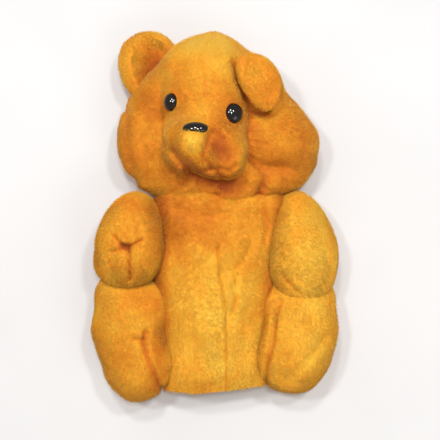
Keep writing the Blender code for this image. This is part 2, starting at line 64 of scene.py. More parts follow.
PILE_LENGTH = 3.1
PILE_WIDTH = 0.46
PILE_STAND = 1.6  # how far the leaning pile stands out of its skin
PILE_ROOT = 0.5  # how deep a strand starts in its skin
PILE_LOWEST = 0.2  # strands keep this high above the floor
PILE_LEAN = 41  # degrees from standing straight, then how much it varies in patches and singly
PATCH_LEAN, STRAND_LEAN = 7, 8
LEAST_LEAN, MOST_LEAN = 15, 70
COMB_STRAYS = ((0.55, 17), (0.15, 3.0))  # how far the pile strays from its comb, over what length
TONE_SCATTER, WAY_SCATTER = 0.06, 0.08  # how much single strands differ
LENGTH_RANGE, WIDTH_RANGE = (0.75, 1.2), (0.8, 1.2)
FOLD_DEPTH_FULL = 3  # from this depth of a fold on, the pile is only half as long
UNDERSIDE = -0.35  # what faces down more than this is underside
PILE_DENSITY = 2.3  # strands on a square millimetre where the pile shows
UNDER_DENSITY = 0.5  # and on the underside
PILE_PIECE = 49000  # the most strands in one piece
THIN = 1.0


# ---------------------------------------------------------------- fields of rounded shapes


def blob(p, centre, radii, turn=0.0, tilt=0.0):
    """About the distance from an ellipsoid, turned about Z and then tilted about its own Y."""
    q = p - np.array(centre, float)
    c, s = math.cos(math.radians(turn)), math.sin(math.radians(turn))
    q = np.stack([q[:, 0] * c + q[:, 1] * s, -q[:, 0] * s + q[:, 1] * c, q[:, 2]], axis=1)
    if tilt:
        c, s = math.cos(math.radians(tilt)), math.sin(math.radians(tilt))
        q = np.stack([q[:, 0] * c - q[:, 2] * s, q[:, 1], q[:, 0] * s + q[:, 2] * c], axis=1)
    radii = np.array(radii, float)
    near = np.linalg.norm(q / radii, axis=1)
    steep = np.linalg.norm(q / radii**2, axis=1)
    return near * (near - 1) / np.maximum(steep, 1e-6)


def join(a, b, soft):
    """The union of two fields, with a fillet about `soft` wide."""
    h = np.clip(0.5 + 0.5 * (b - a) / soft, 0, 1)
    return b * (1 - h) + a * h - soft * h * (1 - h)


def carve(a, b, soft):
    """Field a with b taken out of it."""
    return -join(-a, b, soft)


def from_line(p, line):
    """The distance, seen from above, to a line through (x, y) corners."""
    best = np.full(len(p), np.inf)
    corners = np.array(line, float)
    for a, b in zip(corners, corners[1:]):
        d = b - a
        t = np.clip((p[:, :2] - a) @ d / (d @ d), 0, 1)
        best = np.minimum(best, np.linalg.norm(p[:, :2] - a - t[:, None] * d, axis=1))
    return best


def folds_at(p, folds):
    """How deep the folds and seams are at each point. A fold: (width, depth, line)."""
    total = np.zeros(len(p))
    for width, depth, line in folds:
        total += depth * np.exp(-((from_line(p, line) / width) ** 2))
    return total


def folded(p, field, folds):
    """The field drawn in along its folds, on the side that faces up."""
    upper = np.clip((p[:, 2] - UPPER_Z) / UPPER_FADE, 0, 1)
    return field + folds_at(p, folds) * upper


def sack(p, rows, middle_z):
    """A bag along Y. Each row: (y, left x, right x, half height)."""
    ys, left, right, high = (np.array(column, float) for column in zip(*rows))
    a, b, h = (np.interp(p[:, 1], ys, values) for values in (left, right, high))
    wide = np.maximum((b - a) / 2, 0.5)
    sideways, upward = (p[:, 0] - (a + b) / 2) / wide, (p[:, 2] - middle_z) / h
    out = np.abs(sideways) ** BAG_POWER + np.abs(upward) ** BAG_POWER
    beyond = np.maximum(p[:, 1] - ys[-1], ys[0] - p[:, 1])
    return np.maximum((out ** (1 / BAG_POWER) - 1) * np.minimum(wide, h), beyond)


def rest_on_floor(p, field):
    """The field flattened where it lies on the floor."""
    return carve(field, p[:, 2] - FLOOR_GAP, FLOOR_SOFT)


def waves(p, length, seed):
    """A smooth random field of about unit size, whose lumps are about `length` across."""
    rng = np.random.default_rng(seed)
    total = np.zeros(len(p))
    count = 14
    for _ in range(count):
        way = rng.normal(size=3)
        way *= math.pi / length * rng.uniform(0.7, 1.3) / np.linalg.norm(way)
        total += np.sin(p @ way + rng.uniform(0, 2 * math.pi))
    return total * math.sqrt(2 / count)


# ---------------------------------------------------------------- skins


def shell(field, centre, ways, reach):
    """Where each ray leaves the field for the last time."""
    inner = np.zeros(len(ways))
    step = reach / RAY_STEPS
    for r in np.arange(1, RAY_STEPS + 1) * step:
        inside = field(centre + ways * r) < 0
        inner[inside] = r
    outer = inner + step
    for _ in range(RAY_HALVINGS):
        middle = (inner + outer) / 2
        inside = field(centre + ways * middle[:, None]) < 0
        inner = np.where(inside, middle, inner)
        outer = np.where(inside, outer, middle)
    return centre + ways * inner[:, None]


def ball_rays(fineness):
    """Rays spread evenly over a ball, and the triangles between them."""
    bm = bmesh.new()
    bmesh.ops.create_icosphere(bm, subdivisions=fineness, radius=1)
    ways = np.array([v.co for v in bm.verts], float)
    faces = np.array([[v.index for v in f.verts] for f in bm.faces])
    bm.free()
    return ways / np.linalg.norm(ways, axis=1)[:, None], faces


def ball_skin(field, centre, reach, fineness):
    """The skin lies under the field's surface by as much as the pile will stand out of it."""
    ways, faces = ball_rays(fineness)
    return shell(lambda p: field(p) + PILE_STAND, np.array(centre, float), ways, reach), faces


def tube_faces(rows, columns):
    """The triangles of a tube whose rings of points come one after another."""
    i, k = np.meshgrid(np.arange(rows - 1), np.arange(columns), indexing="ij")
    a, b = (i * columns + k).ravel(), (i * columns + (k + 1) % columns).ravel()
    c, d = a + columns, b + columns  # the same two places, one ring on
    return np.concatenate([np.stack([a, b, d], axis=1), np.stack([a, d, c], axis=1)])


def normals_of(points, faces):
    a, b, c = (points[faces[:, i]] for i in range(3))
    across = np.cross(b - a, c - a)
    total = np.zeros_like(points)
    for i in range(3):
        np.add.at(total, faces[:, i], across)
    return total / np.maximum(np.linalg.norm(total, axis=1), 1e-9)[:, None]


def lumpy(points, faces, size, seed):
    """Uneven stuffing, and the fine unevenness of the cloth over it."""
    push = waves(points, 24, seed) * size + waves(points, 10, seed + 1) * size * 0.3
    moved = points + normals_of(points, faces) * push[:, None]
    moved[:, 2] = np.maximum(moved[:, 2], FLOOR_GAP)
    return moved


def unwrap(mesh, points, faces, normals):
    """Two flat charts side by side: what faces up, and what faces down."""
    low, high = points.min(0), points.max(0)
    across = (points[:, :2] - low[:2]) / np.maximum(high[:2] - low[:2], 1e-6)
    up = normals[faces].mean(1)[:, 2] >= 0
    uv = across[faces] * np.array([0.48, 0.98]) + 0.01
    uv[~up, :, 0] += 0.5
    mesh.uv_layers.new(name="OFBake").data.foreach_set("uv", uv.astype(np.float32).ravel())


def make_mesh(name, points, faces, material, **values):
    """A shaded mesh in metres. Its rest places stay with it, so that colours don't slide in a pose."""
    mesh = bpy.data.meshes.new(name)
    mesh.vertices.add(len(points))
    mesh.vertices.foreach_set("co", (points * MM).astype(np.float32).ravel())
    mesh.loops.add(faces.size)
    mesh.loops.foreach_set("vertex_index", faces.astype(np.int32).ravel())
    mesh.polygons.add(len(faces))
    mesh.polygons.foreach_set("loop_start", np.arange(0, faces.size, 3, dtype=np.int32))
    mesh.update(calc_edges=True)
    mesh.shade_smooth()
    rest = mesh.attributes.new("rest", "FLOAT_VECTOR", "POINT")
    rest.data.foreach_set("vector", (points * MM).astype(np.float32).ravel())
    for key, numbers in values.items():
        kept = mesh.attributes.new(key, "FLOAT", "POINT")
        kept.data.foreach_set("value", np.asarray(numbers, np.float32))
    mesh.materials.append(material)
    obj = bpy.data.objects.new(name, mesh)
    bpy.context.scene.collection.objects.link(obj)
    return obj


# ---------------------------------------------------------------- materials


def new_material(name):
    made = bpy.data.materials.new(name)
    made.use_nodes = True
    tree = made.node_tree
    return made, tree, tree.nodes["Principled BSDF"]


def add_node(tree, kind, **settings):
    made = tree.nodes.new(kind)
    for key, value in settings.items():
        if key in made.inputs:
            made.inputs[key].default_value = value
        else:
            setattr(made, key, value)
    return made


def rest_place(tree):
    found = add_node(tree, "ShaderNodeAttribute")
    found.attribute_name = "rest"
    return found.outputs["Vector"]


def noise(tree, place, scale, detail=2.0):
    made = add_node(tree, "ShaderNodeTexNoise", Scale=scale, Detail=detail, Roughness=0.55)
    tree.links.new(place, made.inputs["Vector"])
    return made.outputs["Fac"]


def attribute(tree, name):
    found = add_node(tree, "ShaderNodeAttribute")
    found.attribute_name = name
    return found.outputs["Fac"]


def maths(tree, operation, *values):
    made = add_node(tree, "ShaderNodeMath", operation=operation)
    for socket, value in zip(made.inputs, values):
        if isinstance(value, (int, float)):
            socket.default_value = value
        else:
            tree.links.new(value, socket)
    return made.outputs[0]


def ramp(tree, factor, stops):
    made = add_node(tree, "ShaderNodeValToRGB")
    points = made.color_ramp.elements
    while len(points) < len(stops):
        points.new(0.5)
    for point, (at, colour) in zip(points, stops):
        point.position = at
        point.color = (*colour, 1.0)
    tree.links.new(factor, made.inputs["Fac"])
    return made.outputs["Color"]


def add_bump(tree, shader, height, strength, distance):
    bump = add_node(tree, "ShaderNodeBump", Strength=strength, Distance=distance)
    tree.links.new(height, bump.inputs["Height"])
    tree.links.new(bump.outputs["Normal"], shader.inputs["Normal"])


PLUSH_STOPS = (
    # tone, colour: from the red of roots and of painted shade in hollows to the yellow of tips
    (0.05, (0.35, 0.070, 0.006)),
    (0.30, (0.62, 0.188, 0.010)),
    (0.50, (0.76, 0.328, 0.019)),
    (0.72, (0.79, 0.460, 0.040)),
    (0.95, (0.81, 0.560, 0.075)),
)
SHEEN_PATCH_SCALE, SHEEN_PATCH_TONE = 36.0, 0.55  # patches of painted sheen, lighter or darker where the pile lies one way or the other
FLECK_SCALE, FLECK_TONE = 260.0, 0.25
TIP_TONE = 0.26  # how much lighter a strand is at its tip


def plush_material(name, pile):
    """Orange plush, whose colour goes by tone: patches of painted sheen, flecks, what the mesh says
    (with its painted light and shade) and the tips.
    """
    made, tree, shader = new_material(name)
    place = rest_place(tree)
    # painted sheen: patches where the pile catches the light one way or the other
    patches = noise(tree, place, SHEEN_PATCH_SCALE)
    flecks = noise(tree, place, FLECK_SCALE)
    patches = maths(tree, "MULTIPLY", patches, SHEEN_PATCH_TONE)
    flecks = maths(tree, "MULTIPLY", flecks, FLECK_TONE)
    tone = maths(tree, "ADD", patches, flecks)
    tone = maths(tree, "ADD", tone, attribute(tree, "tone"))
    if pile:
        tone = maths(tree, "ADD", tone, maths(tree, "MULTIPLY", attribute(tree, "tip"), TIP_TONE))
    tree.links.new(ramp(tree, tone, PLUSH_STOPS), shader.inputs["Base Color"])
    shader.inputs["Roughness"].default_value = 0.8
    shader.inputs["Specular IOR Level"].default_value = 0.25
    shader.inputs["Sheen Weight"].default_value = 0.8
    shader.inputs["Sheen Roughness"].default_value = 0.35
    shader.inputs["Sheen Tint"].default_value = (1.0, 0.50, 0.10, 1.0)
    if not pile:
        add_bump(tree, shader, noise(tree, place, 900.0), strength=0.6, distance=0.0008)
    return made


def gloss_material(name):
    """Black glass-like plastic with a faint unevenness."""
    made, tree, shader = new_material(name)
    cloud = noise(tree, rest_place(tree), 300.0)
    dark = ramp(tree, cloud, ((0.3, (0.004, 0.003, 0.003)), (0.7, (0.009, 0.006, 0.005))))
    tree.links.new(dark, shader.inputs["Base Color"])
    shader.inputs["Roughness"].default_value = 0.08
    shader.inputs["Specular IOR Level"].default_value = 0.5
    return made


def cloth_material(name, colour):
    """Plain woven cloth."""
    made, tree, shader = new_material(name)
    place = rest_place(tree)
    light = tuple(min(1.0, c * 1.25) for c in colour)
    shade = ramp(tree, noise(tree, place, 120.0, detail=4.0), ((0.3, colour), (0.7, light)))
    tree.links.new(shade, shader.inputs["Base Color"])
    shader.inputs["Roughness"].default_value = 0.9
    add_bump(tree, shader, noise(tree, place, 1400.0), strength=0.5, distance=0.0004)
    return made


# ---------------------------------------------------------------- pile


def pile(name, skin, seed, comb, hold, avoid=None):
    """Strands of pile over a skin, as thin closed spikes that lean the way the pile is combed.

    comb: points -> a direction for each. avoid: points -> True where nothing grows.
    hold: what makes each finished piece follow its body, or leaves it where it is, attached to no body.
    """
    rng = np.random.default_rng(seed)
    points, faces, normals = skin["points"], skin["faces"], skin["normals"]
    a, b, c = (points[faces[:, i]] for i in range(3))
    areas = np.linalg.norm(np.cross(b - a, c - a), axis=1) / 2
    seen = normals[faces].mean(1)[:, 2] > UNDERSIDE
    so_far = np.cumsum(areas * np.where(seen, PILE_DENSITY, UNDER_DENSITY) * THIN)
    count = int(so_far[-1])
    chosen = np.searchsorted(so_far, rng.uniform(0, so_far[-1], count))
    chosen = np.minimum(chosen, len(faces) - 1)
    u, v = rng.random((2, count, 1))
    u, v = np.where(u + v > 1, 1 - u, u), np.where(u + v > 1, 1 - v, v)
    roots = a[chosen] + u * (b - a)[chosen] + v * (c - a)[chosen]
    n = [normals[faces[chosen, i]] for i in range(3)]
    up = n[0] * (1 - u - v) + n[1] * u + n[2] * v
    if avoid:
        kept = ~avoid(roots)
        roots, up = roots[kept], up[kept]
        count = len(roots)
    up /= np.linalg.norm(up, axis=1)[:, None]
    depth = folds_at(roots, skin["folds"]) * (up[:, 2] > 0)
    tones = skin["tone"](roots, up) + rng.normal(0, TONE_SCATTER, count)
    lie = comb(roots)
    for k, (far, over) in enumerate(COMB_STRAYS, 2):
        lie = lie + far * np.stack([waves(roots, over, seed + 10 * k + i) for i in range(3)], axis=1)
    lie -= up * (lie * up).sum(1)[:, None]
    lie /= np.maximum(np.linalg.norm(lie, axis=1), 1e-6)[:, None]
    lean = PILE_LEAN + PATCH_LEAN * waves(roots, 12, seed + 40) + rng.normal(0, STRAND_LEAN, count)
    lean = np.clip(np.radians(lean), math.radians(LEAST_LEAN), math.radians(MOST_LEAN))[:, None]
    ways = up * np.cos(lean) + lie * np.sin(lean) + rng.normal(0, WAY_SCATTER, (count, 3))
    ways /= np.linalg.norm(ways, axis=1)[:, None]
    shorter = 1 - 0.5 * np.clip(depth / FOLD_DEPTH_FULL, 0, 1)
    lengths = PILE_LENGTH * rng.uniform(*LENGTH_RANGE, count) * shorter
    side = np.cross(ways, up + 1e-3)
    side /= np.maximum(np.linalg.norm(side, axis=1), 1e-6)[:, None]
    other = np.cross(ways, side)
    turn = rng.uniform(0, 2 * math.pi, count)
    half = PILE_WIDTH / 2 * rng.uniform(*WIDTH_RANGE, count)
    feet = roots - up * PILE_ROOT
    corners = []
    for i in range(3):
        angle = turn + i * 2 * math.pi / 3
        out = side * np.cos(angle)[:, None] + other * np.sin(angle)[:, None]
        corners.append(feet + out * half[:, None])
    corners.append(feet + ways * lengths[:, None])
    places = np.stack(corners, axis=1)
    places[:, :, 2] = np.maximum(places[:, :, 2], PILE_LOWEST)
    spike = np.array([[1, 0, 3], [2, 1, 3], [0, 2, 3], [0, 1, 2]])
    for part, first in enumerate(range(0, count, PILE_PIECE)):
        group = slice(first, min(first + PILE_PIECE, count))
        size = group.stop - group.start
        ends = places[group].reshape(-1, 3)
        strands = (np.arange(size)[:, None, None] * 4 + spike).reshape(-1, 3)
        tip = np.tile([0.0, 0.0, 0.0, 1.0], size)
        tone = np.repeat(tones[group], 4)
        obj = make_mesh(f"{name}_{part + 1}", ends, strands, PILE, tip=tip, tone=tone)
        unwrap(obj.data, ends, strands, np.repeat(up[group], 4, axis=0))
        hold(obj)


def skin_piece(name, points, faces, tone, folds, replaced):
    """A skin as a piece, and what the pile needs to know of it. tone: (points, normals) -> tone."""
    normals = normals_of(points, faces)
    narrow = [fold for fold in folds if fold[0] < NARROW_FOLD]

    # painted shade inside the narrow folds, on the side that faces up
    def shaded(p, up):
        return tone(p, up) - FOLD_PAINTED_SHADE * folds_at(p, narrow) * (up[:, 2] > 0)

    obj = make_mesh(name, points, faces, SKIN, tone=shaded(points, normals))
    unwrap(obj.data, points, faces, normals)
    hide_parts(*replaced)
    return obj, {"points": points, "faces": faces, "normals": normals, "tone": shaded, "folds": folds}


def spot(p, x, y, wide, long, strength):
    """A soft oval patch, seen from above: of tone, or of depth."""
    return strength * np.exp(-(((p[:, 0] - x) / wide) ** 2) - ((p[:, 1] - y) / long) ** 2)


def shade_below(up):
    """Painted shade: the tone lost where a skin faces down."""
    return 0.10 * (1 - np.clip(up[:, 2] + 0.3, 0, 1))


def body_tone(p, up):
    """Redder at the chest, yellower on the belly and towards the bear's left, with painted shade where
    the skin faces down.
    """
    tone = 0.08 + 0.0007 * np.clip(p[:, 0], -60, 60) + spot(p, -24, -8, 32, 28, -0.24)
    tone = tone + spot(p, 4, -115, 34, 50, 0.18) + spot(p, -10, -62, 26, 32, 0.12)
    return tone - shade_below(up)


def toward(x, y, z=0.0):
    """A comb that lays all the pile one way."""
    way = np.array([x, y, z], float)
    return lambda p: np.tile(way, (len(p), 1))


def riding(body):
    return lambda obj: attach(obj, body)


def bending(*bend):
    return lambda obj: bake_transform(obj)


SKIN = plush_material("plush_skin", pile=False)
PILE = plush_material("plush_pile", pile=True)
GLOSS = gloss_material("black_gloss")
LINING = cloth_material("lining_cloth", (0.40, 0.20, 0.06))


# ---------------------------------------------------------------- the head

HEAD_ROWS = (
    # y, left x, right x, half height
    (12, -48, 50, 14), (18, -61, 68, 20), (24, -73, 80, 23), (32, -76, 87, 25), (46, -78, 95, 27),
    (60, -82, 96, 28), (75, -87, 91, 28), (90, -85, 83, 28), (103, -80, 72, 28), (112, -74, 64, 28),
    (124, -62, 57, 28), (137, -47, 46, 27), (148, -32, 27, 25), (156, -18, 11, 22), (161, -9, 4, 15),
    (162.5, -3, -2, 6),
)
HEAD_MID_Z = 27.0
HEAD_FOLDS = (
    (5.5, 1.6, ((-40, 60), (-34, 52), (-30, 47))),
    (3.0, 3.0, ((-34, 54), (-28, 45), (-20, 38), (-12, 32))),
    (3.6, 7.5, ((-22, 38), (-7, 29.5), (10, 26.5), (22, 30), (28, 40))),
    (4.0, 1.5, ((-46, 112), (-47, 92), (-47, 66))),
    (3.4, 3.4, ((30, 92), (31, 66), (30, 44))),
    (5.5, 5.5, ((31, 46), (44, 42), (60, 41))),
    (3.4, 4.0, ((47, 38), (38, 18))),
    (2.6, 3.0, ((30, 34), (20, 21), (0, 18))),
    (3.0, 2.0, ((-26, 30), (-38, 20))),
    (1.4, 0.9, ((-6, 152), (-9, 138), (-9, 100))),
    (2.0, 1.6, ((-5, 74), (7, 65))),
    (1.8, 2.6, ((-3, 69), (-6.5, 60), (-10, 49))),
    (3.5, 1.5, ((-77, 92), (-75, 60), (-70, 30))),
    (4.5, 1.4, ((-64, 84), (-62, 52))),
    (8.0, 4.6, ((-1, 62), (8, 48))),
    (2.2, 2.6, ((-22, 46), (-13, 38), (-4, 39))),
    (2.2, 2.4, ((-9, 46), (1, 38), (8, 31))),
    (2.0, 2.0, ((4, 40), (12, 38), (18, 43))),
    # under the free edge of the folded left ear: narrow grooves whose painted shade stands for the
    # ear's shadow
    (2.8, 6.0, ((16, 131), (19, 116), (27, 101), (36, 90), (46, 86))),
    (2.6, 2.0, ((17, 131), (20.5, 116), (28.5, 101), (38, 91), (50, 88))),
)
HEAD_SPOTS = (
    # x, y, width, length, strength
    (-4, 108, 30, 30, -0.04),  # the forehead
    (0, 20, 40, 13, -0.10),  # painted shade under the chin
    (-62, 60, 22, 40, -0.05),  # the right cheek
    (60, 60, 26, 40, -0.07),  # the left cheek
    (-17, 62, 10, 12, 0.42),  # painted light on the muzzle's right side
    (4, 54, 11, 12, -0.42),  # and painted shade on its left side
    (15, 86, 12, 12, -0.12),  # painted shade round the left eye
    (-37, 97, 10, 12, -0.12),  # painted shade round the right eye
    (-30, 40, 12, 10, -0.14),  # painted shade by the corner of the mouth
    (-4, 154, 38, 28, 0.38),  # painted light on the crown
    (24, 47, 5, 8, 0.22),  # a painted highlight at the left end of the muzzle
)
NECKLINE = (
    # where the head meets the body: x, y
    (-59, 18), (-46, 17.5), (-31, 16), (-19, 17.5), (-7, 17), (1, 13.5), (16, 12), (30, 14.5), (38, 14),
    (50, 17),
)
NECK_Y = 15


def neck_stray(x):
    """How far the neckline strays from NECK_Y."""
    return np.interp(x, *zip(*NECKLINE)) - NECK_Y


def head_field(p):
    q = p.copy()
    q[:, 1] -= neck_stray(p[:, 0]) * np.clip((40 - p[:, 1]) / 20, 0, 1)
    d = sack(q, HEAD_ROWS, HEAD_MID_Z)
    d = join(d, blob(p, (58, 64, 36), (31, 26, 25), turn=10), 8)
    d = join(d, blob(p, (-63, 66, 34), (22, 34, 22)), 8)
    d = join(d, blob(p, (47.9, 123.6, 36), (8, 22, 9), turn=32), 6)
    face = join(blob(p, (-6, 118, 36), (46, 41, 37)), blob(p, (-9, 86, 44), (38, 44, 36)), 14)
    face = join(face, blob(p, (-9, 58, 50), (37, 30, 38)), 12)
    snout = join(blob(p, (-15, 60, 68), (24, 22, 34)), blob(p, (14, 46, 60), (16, 16, 25)), 10)
    face = join(face, snout, 12)
    d = join(d, face, 5)
    return rest_on_floor(p, folded(p, d, HEAD_FOLDS))


HEAD_CENTRE = (-6, 76, 34)
EYES = {
    # place, half sizes, height
    "left": ((15.4, 86.3), (8.2, 8.6), 4.8),
    "right": ((-36.6, 96.6), (6.4, 7.8), 4.6),
}
EYE_UPTURN = 2.5  # how much more an eye looks up than the plush under it
EYE_LIFT = 0.9  # how far its middle stands above that plush
NOSE_AT = (-16.0, 72.6)
NOSE_HALF = (10.6, 5.4, 4.2)
NOSE_FACING = (-0.05, 0.45, 0.86)
NOSE_SINK = 0.9  # and how far the nose's lies under it


def skin_at(skin, x, y):
    """The skin's top over (x, y), and the way it faces there."""
    underside = skin["normals"][:, 2] < 0.05
    near = np.linalg.norm(skin["points"][:, :2] - (x, y), axis=1) + underside * 1e3
    k = np.argsort(near)[:24]
    way = skin["normals"][k].mean(0)
    return skin["points"][k[:4]].mean(0), way / np.linalg.norm(way)


def head_tone(p, up):
    return sum(spot(p, *row) for row in HEAD_SPOTS) - shade_below(up)


def head_comb(p):
    """The pile runs out from the nose, up over the forehead and back over the cheeks."""
    return np.stack([(p[:, 0] + 12) / 40, (p[:, 1] - 76) / 40, np.full(len(p), -0.2)], axis=1)


def near_eyes(p):
    """Where no pile grows, because an eye is there."""
    found = np.zeros(len(p), bool)
    for (x, y), (wide, long), _ in EYES.values():
        found |= np.hypot((p[:, 0] - x) / wide, (p[:, 1] - y) / long) < 1
    return found & (p[:, 2] > 40)


def dome(name, place, facing, half, replaced):
    """A smooth button of black plastic, sunk a little into the plush."""
    rows, columns = 22, 56
    angles = np.linspace(-0.5, math.pi / 2 - 0.02, rows)
    around = np.linspace(0, 2 * math.pi, columns, endpoint=False)
    rings = np.stack(
        [
            np.outer(np.cos(angles), np.cos(around)) * half[0],
            np.outer(np.cos(angles), np.sin(around)) * half[1],
            np.outer(np.sin(angles), np.ones(columns)) * half[2],
        ],
        axis=-1,
    ).reshape(-1, 3)
    faces = tube_faces(rows, columns)
    caps = []
    for ring, way in ((0, -1), (rows - 1, 1)):
        first = ring * columns
        for i in range(1, columns - 1):
            caps.append((first, first + i, first + i + 1)[::way])
    faces = np.concatenate([faces, np.array(caps)])
    across = np.cross((0.0, 1.0, 0.0), facing)
    across /= np.linalg.norm(across)
    points = rings @ np.array([across, np.cross(facing, across), facing]) + place
    obj = make_mesh(name, points, faces, GLOSS)
    unwrap(obj.data, points, faces, normals_of(points, faces))
    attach(obj, "head")
    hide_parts(*replaced)
    return obj


def build_head():
    points, faces = ball_skin(head_field, HEAD_CENTRE, 110, 6)
    points = lumpy(points, faces, 0.5, 11)
    covered = (
        "head_back_panel", "face_panel_left", "face_panel_right", "head_filling",
        "muzzle_upper_panel", "chin_panel", "muzzle_filling", "finger_tube",
    )
    skin, facts = skin_piece("head_skin", points, faces, head_tone, HEAD_FOLDS, covered)
    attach(skin, "head")
    for side, (at, (wide, long), height) in EYES.items():
        place, facing = skin_at(facts, *at)
        facing = facing + np.array([0, 0, EYE_UPTURN])
        facing /= np.linalg.norm(facing)
        stood_for = [f"eye_{side}", f"eye_{side}_washer"]
        dome(f"eye_{side}_dome", place + facing * EYE_LIFT, facing, (wide, long, height), stood_for)
    place, _ = skin_at(facts, *NOSE_AT)
    facing = np.array(NOSE_FACING)
    place = place - facing * NOSE_SINK
    dome("nose_dome", place, facing / np.linalg.norm(facing), NOSE_HALF, ["nose", "nose_washer"])
    pile("head_pile", facts, 101, head_comb, riding("head"), near_eyes)


# ---------------------------------------------------------------- ears

EAR_RIGHT_HOLLOW = ((10, 4, ((-57, 116), (-48, 139))),)
# The left ear's root: the head and the ear, then a place on the head's side of it and a place on the
# ear's side.
EAR_LEFT_ROOT = ("head", "ear_left", (0.0505, 0.125, 0.040), (0.046, 0.1205, 0.058))


def ear_right_field(p):
    bowl = blob(p, (-57, 130, 27), (28, 34, 16), turn=30)
    bowl = join(bowl, blob(p, (-57, 139, 27), (25, 26, 15)), 6)
    hollow = blob(p, (-54, 131, 46), (16, 24, 24), turn=12)
    return rest_on_floor(p, carve(bowl, hollow, 4))


def ear_left_field(p):
    """It stands up from its root at the side of the head and is folded over towards the forehead."""
    flap = join(
        blob(p, (38.3, 112, 63), (17.5, 25, 7), turn=27, tilt=20),
        blob(p, (32.3, 122.5, 66.5), (15, 18.5, 7), turn=27, tilt=20), 6,
    )
    flap = carve(flap, blob(p, (36, 115, 76), (8, 16, 5), turn=27, tilt=20), 6)
    return join(flap, blob(p, (48.6, 122.4, 48), (6.5, 17, 13), turn=30, tilt=-12), 13)


def ear_right_tone(p, up):
    # painted shade in the ear's hollow where it faces up, and on its underside
    return 0.08 + spot(p, -51, 126, 13, 22, -0.62) * (up[:, 2] > 0) - 0.06 * (up[:, 2] < 0)


def ear_left_tone(p, up):
    # painted shade on the ear's underside
    return -0.02 - 0.2 * (up[:, 2] < 0)


def build_ears():
    points, faces = ball_skin(ear_right_field, (-57, 133, 14), 60, 5)
    points = lumpy(points, faces, 0.4, 21)
    skin, facts = skin_piece(
        "ear_right_skin", points, faces, ear_right_tone, EAR_RIGHT_HOLLOW,
        ("ear_right_front", "ear_right_back"),
    )
    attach(skin, "ear_right")
    pile("ear_right_pile", facts, 103, toward(-0.4, 0.9), riding("ear_right"))
    points, faces = ball_skin(ear_left_field, (45, 120, 59), 60, 5)
    points = lumpy(points, faces, 0.4, 22)
    skin, facts = skin_piece(
        "ear_left_skin", points, faces, ear_left_tone, (), ("ear_left_front", "ear_left_back")
    )
    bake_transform(skin)
    pile("ear_left_pile", facts, 104, toward(-0.8, -0.5), bending(*EAR_LEFT_ROOT))


# ---------------------------------------------------------------- the glove

GLOVE_FOLDS = (
    (1.5, 2.2, ((2, -28), (2.8, -47), (7, -68), (10, -83), (9.3, -158))),
    (3.0, 2.2, ((19, -71), (12.5, -96))),
    (4.0, 1.6, ((3, -28), (-4, -38), (-18, -50))),
    (4.0, 1.6, ((34, -24), (22, -44), (16, -66))),
    (5.0, 1.4, ((-20, -92), (-24, -132))),
    (4.0, 1.2, ((28, -96), (27, -140))),
    (4.5, 1.4, ((-34, 6), (-12, -2), (10, 2))),
    (3.0, 2.0, ((44, 10), (46, -10), (44, -24))),
)
HEM_EDGE = ((-50, -154), (-21, -156), (9, -153.5), (45, -149.5))
GLOVE_ROWS = (
    # y, half width, half height
    (-154, 47, 19), (-140, 48, 23), (-110, 50, 26.5), (-80, 54, 28), (-50, 55, 28), (-20, 55, 26),
    (0, 57, 24), (10, 57, 23.5), (16, 52, 21), (21, 42, 17.5), (26, 34, 15), (31, 26, 12),
)
GLOVE_TOP = 31.0
GLOVE_MID_Z = 26.0
GLOVE_RINGS, GLOVE_COLUMNS = 137, 220
GLOVE_SMOOTHING = 8  # times that each ring is averaged with its neighbours
GLOVE_POWER = 2.15  # how square its section is: 2 is an ellipse
GLOVE_BEND = ("torso", "collar", (0, -0.022, 0.025), (0, 0.004, 0.025))
PLUSH_THICKNESS = 3.0
SHOULDER_EXTRA = 9
CLOTHS = (
    # what it stands for, how far inside the plush's outside, rings from the hem up
    ("glove_lining", 4.2, 110),
    ("hem_facing", 5.6, 9),
)


def shoulder_width(p):
    """How much wider the glove is where its left shoulder lies flat."""
    return SHOULDER_EXTRA * np.clip(p[:, 0] / 40, 0, 1) * np.clip((p[:, 1] + 45) / 35, 0, 1)


def glove_surface():
    """The glove's outside: rows of points from the hem up to the neck."""
    angles = np.linspace(0, 2 * math.pi, GLOVE_COLUMNS, endpoint=False)
    power = 2 / GLOVE_POWER
    across = np.sign(np.cos(angles)) * np.abs(np.cos(angles)) ** power
    lift = np.sign(np.sin(angles)) * np.abs(np.sin(angles)) ** power
    ys, widths, heights = (np.array(column, float) for column in zip(*GLOVE_ROWS))
    rings = []
    for y in np.linspace(ys[0], GLOVE_TOP, GLOVE_RINGS):
        x = across * (np.interp(y, ys, widths) - PILE_STAND)
        z = GLOVE_MID_Z + lift * (np.interp(y, ys, heights) - PILE_STAND)
        rings.append(np.stack([x, np.full(GLOVE_COLUMNS, y), np.maximum(z, FLOOR_GAP)], axis=1))
    grid = np.array(rings)
    for _ in range(GLOVE_SMOOTHING):
        grid[1:-1] = (grid[:-2] + 2 * grid[1:-1] + grid[2:]) / 4
    points = grid.reshape(-1, 3)
    points[:, 0] += shoulder_width(points)
    points[:, 1] += neck_stray(points[:, 0]) * np.clip(points[:, 1] / 16, 0, 1)
    edge = np.interp(points[:, 0], *zip(*HEM_EDGE)) - ys[0]
    points[:, 1] += np.clip((-118 - points[:, 1]) / 36, 0, 1) * edge
    upper = np.clip((points[:, 2] - GLOVE_MID_Z) / 10, 0, 1)
    points[:, 2] -= folds_at(points, GLOVE_FOLDS) * upper
    return points


def glove_tone(p, up):
    """Painted shade: the sides, in the creases beside the limbs, are darker and redder."""
    side = np.abs(p[:, 0]) - shoulder_width(p)
    return body_tone(p, up) - 0.45 * np.clip((side - 38) / 14, 0, 1)


